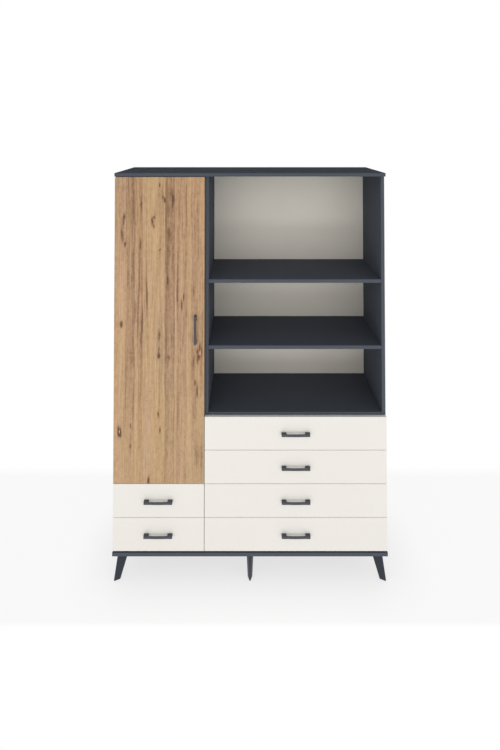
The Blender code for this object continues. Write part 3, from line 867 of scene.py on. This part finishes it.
# Hinges: a zinc cup of 35 mm let into the door and screwed down at its two ears, and an arm on a
# winged plate that is screwed to the side. The links between them lie folded in the cup.
CUP_FLANGE_OUT = 0.0013
CUP_EAR = 0.0085
CUP_RIM = 0.0006
CUP_WALL = 0.0011
CUP_SCREW_OUT = 0.0225
CUP_DEPTH = 0.0112
CUP_SCREW_TURN = radians(20)
ARM_HALF_WIDTH = 0.007
ARM_CROWN = 0.0030
ARM_SLOTS = (0.016, 0.040)
ARM_SLOT_WIDTH = 0.0050
ARM_SLOT_LENGTH = 0.014
ARM_SLOT_DEPTH = 0.0030
WING_PLATE = (0.0216, 0.0516)
WING_SHEET = 0.002
WING = 0.0070
WING_EDGE = 0.0004
WING_SCREW_OUT = 0.0175
WING_SCREW_TURN = radians(30)
HINGE_EDGE = 0.0003

for level in ("lower", "middle", "upper"):
    low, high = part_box(f"hinge_cup_{level}")
    middle = (low + high) / 2
    seat = door_high.y
    cup = start_block(f"hinge_cup_{level}_flange", (low.x, seat, low.z), high)
    pick(cup, "EDGE", lambda middle, way: abs(way.y) > STRAIGHT)
    bpy.ops.mesh.bevel(offset=CUP_EAR, segments=6)
    radius = (high.x - low.x) / 2 - CUP_FLANGE_OUT
    for name, rim, reach, operation in (
        ("body", high.y - CUP_RIM, radius, "UNION"),
        ("hollow", high.y + CUP_RIM, radius - CUP_WALL, "DIFFERENCE"),
    ):
        round_part = start_disc(name, (middle.x, rim, middle.z), (0, -1, 0), reach, CUP_DEPTH, 48)
        combine(cup, round_part, operation)
    round_edges(cup, HINGE_EDGE)
    fit(cup, zinc, "door", [f"hinge_cup_{level}"])
    ears = [middle.z - CUP_SCREW_OUT, middle.z + CUP_SCREW_OUT]
    screw_seat = high.y - SCREW_HEIGHT / 2
    places = [facing((middle.x, screw_seat, z), (0, 1, 0), CUP_SCREW_TURN) for z in ears]
    fit(spread(f"hinge_cup_{level}_screws", screw, places), zinc, "door")

    low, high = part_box(f"hinge_arm_{level}")
    middle = (low + high) / 2
    arm = start_block(
        f"hinge_arm_{level}_channel",
        (low.x, low.y, middle.z - ARM_HALF_WIDTH),
        (high.x, high.y, middle.z + ARM_HALF_WIDTH),
    )
    pick(arm, "EDGE", lambda middle, way: abs(way.y) > STRAIGHT and near(middle.x, high.x))
    bpy.ops.mesh.bevel(offset=ARM_CROWN, segments=5)
    for slot_y in (low.y + out for out in ARM_SLOTS):
        slot_cut = start_block(
            "slot",
            (high.x - ARM_SLOT_DEPTH, slot_y - ARM_SLOT_LENGTH / 2, middle.z - ARM_SLOT_WIDTH / 2),
            (high.x + ARM_SLOT_DEPTH, slot_y + ARM_SLOT_LENGTH / 2, middle.z + ARM_SLOT_WIDTH / 2),
        )
        pick(slot_cut, "EDGE", lambda middle, way: abs(way.x) > STRAIGHT)
        bpy.ops.mesh.bevel(offset=ARM_SLOT_WIDTH * 0.49, segments=5)
        combine(arm, slot_cut, "DIFFERENCE")
    round_edges(arm, HINGE_EDGE)
    fit(arm, zinc, "carcass", [f"hinge_arm_{level}"])
    wing = start_block(
        f"hinge_arm_{level}_plate",
        (low.x, low.y + WING_PLATE[0], low.z),
        (low.x + WING_SHEET, low.y + WING_PLATE[1], high.z),
    )
    pick(wing, "EDGE", lambda middle, way: abs(way.x) > STRAIGHT)
    bpy.ops.mesh.bevel(offset=WING, segments=6)
    round_edges(wing, WING_EDGE)
    fit(wing, zinc, "carcass")
    wing_y = low.y + sum(WING_PLATE) / 2
    places = [
        facing((low.x + WING_SHEET, wing_y, middle.z + out), (1, 0, 0), WING_SCREW_TURN)
        for out in (-WING_SCREW_OUT, WING_SCREW_OUT)
    ]
    places += [
        facing((high.x - ARM_SLOT_DEPTH, low.y + out, middle.z), (1, 0, 0), low.y + out)
        for out in ARM_SLOTS
    ]
    fit(spread(f"hinge_arm_{level}_screws", screw, places), zinc, "carcass")

# Handles: cast bridge handles with square posts and a slim, slightly bowed bar, powder coated, each
# held by two machine screws through the front. One is modelled lying, and copied to every front.
POST_WIDTH = 0.021
BAR_HEIGHT_SHARE = 0.945
BAR_THICKNESS = 0.0045
BOW = 0.0010
OUTER_CORNER = 0.003
INNER_CORNER = 0.002
NECK = 0.004
BAR_STEPS = 6
HANDLE_EDGE = 0.0006
MIRROR_MERGE = 0.0001
SCREW_SPACING = 0.096


def extrude(way):
    bpy.ops.mesh.extrude_region_move(TRANSFORM_OT_translate={"value": way})


handle_coat = powder_coat("dark_handle_coat", paint(68, 68, 75), paint(84, 84, 92))
low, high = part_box("right_drawer_1_handle")
length, post_height = high.x - low.x, high.z - low.z
projection = high.y - low.y - BOW
bar_back = BAR_THICKNESS - projection
post_inner = POST_WIDTH - length / 2
handle = start_block(
    "handle", (-length / 2, -projection, -post_height / 2), (post_inner, 0, post_height / 2)
)
pick(handle, "FACE", lambda middle, way: True)
bpy.ops.mesh.bisect(plane_co=(0, bar_back, 0), plane_no=(0, 1, 0))
pick(handle, "FACE", lambda middle, way: way.x > STRAIGHT and middle.y < bar_back)
extrude((NECK, 0, 0))
bpy.ops.transform.resize(value=(1, 1, BAR_HEIGHT_SHARE))
bar_reach = -post_inner - NECK
for step in range(BAR_STEPS):
    share, following = 1 - step / BAR_STEPS, 1 - (step + 1) / BAR_STEPS
    extrude((bar_reach / BAR_STEPS, BOW * (following**2 - share**2), 0))
bpy.ops.mesh.delete(type="ONLY_FACE")
for x, y, corner in (
    (-length / 2, -projection, OUTER_CORNER),
    (post_inner, bar_back, INNER_CORNER),
):
    pick(
        handle,
        "EDGE",
        lambda middle, way: abs(way.z) > STRAIGHT and near(middle.x, x) and near(middle.y, y),
    )
    bpy.ops.mesh.bevel(offset=corner, segments=5)
modify(handle, "MIRROR", merge_threshold=MIRROR_MERGE, use_clip=True)
pick(handle, "FACE", lambda middle, way: True)
bpy.ops.mesh.normals_make_consistent(inside=False)
round_edges(handle, HANDLE_EDGE, 3)
handle = as_model(handle)

DRAWERS = tuple(f"left_drawer_{n}" for n in (1, 2)) + tuple(f"right_drawer_{n}" for n in (1, 2, 3, 4))
for owner in ("door", *DRAWERS):
    low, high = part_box(f"{owner}_handle")
    front_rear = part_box("door_panel" if owner == "door" else f"{owner}_front")[1].y
    middle = (low + high) / 2
    turn = Matrix.Rotation(pi / 2, 4, "Y") if owner == "door" else Matrix()
    seat = Matrix.Translation((middle.x, high.y, middle.z)) @ turn
    made = spread(f"{owner}_bridge_handle", handle, [seat])
    fit(made, handle_coat, owner, [f"{owner}_handle"])
    behind = Matrix.Translation((middle.x, front_rear, middle.z)) @ turn
    places = [
        behind @ facing((out, 0, 0), (0, 1, 0), out) for out in (-SCREW_SPACING / 2, SCREW_SPACING / 2)
    ]
    fit(spread(f"{owner}_handle_screws", screw, places), zinc, owner)

# Drawer fronts: 18 mm board faced in a smooth cream melamine, with a faint satin drift. Their edges
# are painted a little paler than the faces, as painted light on the ledges and in the gaps.
CREAM = paint(231, 228, 222)
CREAM_DEEP = paint(227, 223, 215)
CREAM_EDGE_PAINTED_LIGHT = paint(247, 244, 238)

cream, shader, place = new_finish("cream_melamine", 0.42, specular=0.4)
drift = noise(place, 3, 3)
skin = noise(place, 900, 2)
face = (0.5 + drift * 0.8 + skin * 0.3).mix(CREAM_DEEP, CREAM)
# Painted light: the edges are made paler than the faces, as if more light fell on them.
painted_light_edges = place.node("NewGeometry", output=1).axis(1).math("ABSOLUTE") < FACING
painted_light_edges.mix(face, CREAM_EDGE_PAINTED_LIGHT).into(shader, "Base Color")
(0.42 + drift * 0.10 + skin * 0.08).into(shader, "Roughness")
emboss(skin, shader, 0.00003)
for drawer in DRAWERS:
    dress(cream, f"{drawer}_front")
    low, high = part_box(f"{drawer}_front")
    places = [
        facing((x, high.y, high.z - PAD_FROM_END / 2), (0, 1, 0))
        for x in (low.x + PAD_INSET, high.x - PAD_INSET)
    ]
    fit(spread(f"{drawer}_pads", pad, places), silicone, drawer)

# Drawer boxes: two 12 mm sides grooved for a thin hardboard bottom, and a back screwed between them,
# all in a light grey linen-structured melamine.
BOX_BOARD = 0.012
BOTTOM_RISE = 0.010
BOTTOM = 0.003
GROOVE_DEPTH = 0.006
GROOVE_PLAY = 0.0003
TONGUE = 0.005
BOX_EDGE = 0.0004
BOX_BACK_EDGE = 0.0005
BOX_SCREW_RISE = 0.025
LINEN_DEEP = paint(198, 196, 191)
LINEN = paint(216, 214, 209)

linen, shader, place = new_finish("drawer_melamine", 0.6, specular=0.3)
threads = {"Vector": place, "Scale": 300.0, "Distortion": 1.5, "Detail": 1.0}
warp = place.node("TexWave", {"bands_direction": "Z"}, threads)
weft = place.node("TexWave", {"bands_direction": "Y"}, threads)
weave = warp * weft
drift = noise(place, 6, 3)
(0.4 + weave * 0.4 + drift * 0.5).mix(LINEN_DEEP, LINEN).into(shader, "Base Color")
emboss(weave, shader, 0.00005)

thin_board, shader, place = new_finish("drawer_bottom_hardboard", 0.65, specular=0.3)
speck = noise(place, 500, 3)
(0.5 + speck * 0.8).mix(paint(206, 203, 196), paint(222, 219, 213)).into(shader, "Base Color")
emboss(speck, shader, 0.00004)

for drawer in DRAWERS:
    low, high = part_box(f"{drawer}_box")
    groove_low = low.z + BOTTOM_RISE - GROOVE_PLAY
    groove_high = low.z + BOTTOM_RISE + BOTTOM + GROOVE_PLAY
    for side, outer, inward in (("left", low.x, 1), ("right", high.x, -1)):
        inner = outer + inward * BOX_BOARD
        corner_low = (min(outer, inner), low.y, low.z)
        corner_high = (max(outer, inner), high.y, high.z)
        board = start_block(f"{drawer}_side_{side}", corner_low, corner_high)
        for z in (groove_low, groove_high):
            pick(board, "FACE", lambda middle, way: True)
            bpy.ops.mesh.bisect(plane_co=(0, 0, z), plane_no=(0, 0, 1))
        pick(
            board,
            "FACE",
            lambda middle, way: way.x * inward > STRAIGHT and groove_low < middle.z < groove_high,
        )
        extrude((-inward * GROOVE_DEPTH, 0, 0))
        round_edges(board, BOX_EDGE)
        replaced = [f"{drawer}_box"] if side == "left" else []
        fit(board, linen, drawer, replaced)
    back = start_block(
        f"{drawer}_back",
        (low.x + BOX_BOARD, high.y - BOX_BOARD, low.z),
        (high.x - BOX_BOARD, high.y, high.z),
    )
    round_edges(back, BOX_BACK_EDGE)
    fit(back, linen, drawer)
    bottom = start_block(
        f"{drawer}_bottom",
        (low.x + BOX_BOARD - TONGUE, low.y, low.z + BOTTOM_RISE),
        (high.x - BOX_BOARD + TONGUE, high.y - BOX_BOARD, low.z + BOTTOM_RISE + BOTTOM),
    )
    round_edges(bottom, BOX_EDGE)
    fit(bottom, thin_board, drawer)
    places = [
        facing((x, high.y - BOX_BOARD / 2, z), (way, 0, 0), z)
        for x, way in ((low.x, -1), (high.x, 1))
        for z in (low.z + BOX_SCREW_RISE, high.z - BOX_SCREW_RISE)
    ]
    fit(spread(f"{drawer}_box_screws", screw, places), zinc, drawer)

# Runners: zinc roller slides. The rail on the cabinet side carries a nylon roller at its front end;
# the member on the drawer side has a lip over that roller and a roller of its own at its rear end.
ROLLER_RADIUS = 0.0068
ROLLER_WIDTH = 0.0055
ROLLER_FROM_END = 0.012
ROLLER_OFF_WALL = 0.0030
ROLLER_PLAY = 0.0002
ROLLER_EDGE = 0.0007
MEMBER_SHEET = 0.0010
MEMBER_HEIGHT = 0.026
MEMBER_LIP = 0.0085
MEMBER_FOOT = 0.0012
MEMBER_FROM_FRONT = 0.002
MEMBER_EDGE = 0.0003
RAIL_SHEET = 0.0012
RAIL_SCREWS = (0.037, 0.165, 0.293)
RAIL_SCREW_RISE = 0.0215

nylon, shader, place = new_finish("white_nylon", 0.4, specular=0.4)
speck = noise(place, 400, 2)
(0.5 + speck).mix(paint(206, 205, 200), paint(226, 225, 221)).into(shader, "Base Color")

roller = start_disc("roller", (0, 0, 0), (0, 0, 1), ROLLER_RADIUS, ROLLER_WIDTH, 28)
pick(roller, "FACE", lambda middle, way: way.z > STRAIGHT)
bpy.ops.mesh.inset(thickness=ROLLER_RADIUS * 0.35)
bpy.ops.mesh.inset(thickness=ROLLER_RADIUS * 0.06, depth=-ROLLER_WIDTH * 0.2)
bpy.ops.mesh.inset(thickness=ROLLER_RADIUS * 0.15)
bpy.ops.mesh.inset(thickness=ROLLER_RADIUS * 0.04, depth=ROLLER_WIDTH * 0.3)
round_edges(roller, ROLLER_EDGE)
roller = as_model(roller)

for drawer in DRAWERS:
    box_low, box_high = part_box(f"{drawer}_box")
    for side, wall, outer, inward in (
        ("left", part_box(f"{drawer}_rail_left")[0].x, box_low.x, 1),
        ("right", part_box(f"{drawer}_rail_right")[1].x, box_high.x, -1),
    ):
        rail = f"{drawer}_rail_{side}"
        low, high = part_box(rail)
        dress(zinc, rail)
        foot = wall + inward * ROLLER_OFF_WALL
        member_top = box_low.z + MEMBER_FOOT + MEMBER_HEIGHT
        roller_z = member_top - MEMBER_SHEET - ROLLER_RADIUS - ROLLER_PLAY
        places = [facing((foot, low.y + ROLLER_FROM_END, roller_z), (inward, 0, 0))]
        fit(spread(f"{rail}_roller", roller, places), nylon, "carcass")
        sheet = wall + inward * RAIL_SHEET
        places = [
            facing((sheet, low.y + out, low.z + RAIL_SCREW_RISE), (inward, 0, 0), out)
            for out in RAIL_SCREWS
        ]
        fit(spread(f"{rail}_screws", screw, places), zinc, "carcass")

        strip_x = (outer - inward * MEMBER_SHEET, outer)
        member = start_block(
            f"{drawer}_member_{side}",
            (min(strip_x), box_low.y + MEMBER_FROM_FRONT, box_low.z + MEMBER_FOOT),
            (max(strip_x), box_high.y, member_top),
        )
        pick(member, "FACE", lambda middle, way: True)
        bpy.ops.mesh.bisect(plane_co=(0, 0, member_top - MEMBER_SHEET), plane_no=(0, 0, 1))
        pick(
            member,
            "FACE",
            lambda middle, way: way.x * -inward > STRAIGHT and middle.z > member_top - MEMBER_SHEET,
        )
        extrude((-inward * MEMBER_LIP, 0, 0))
        round_edges(member, MEMBER_EDGE)
        fit(member, zinc, drawer)
        roller_z = low.z + RAIL_SHEET + ROLLER_RADIUS + ROLLER_PLAY
        places = [facing((foot, box_high.y - ROLLER_FROM_END, roller_z), (inward, 0, 0))]
        fit(spread(f"{drawer}_member_{side}_roller", roller, places), nylon, drawer)
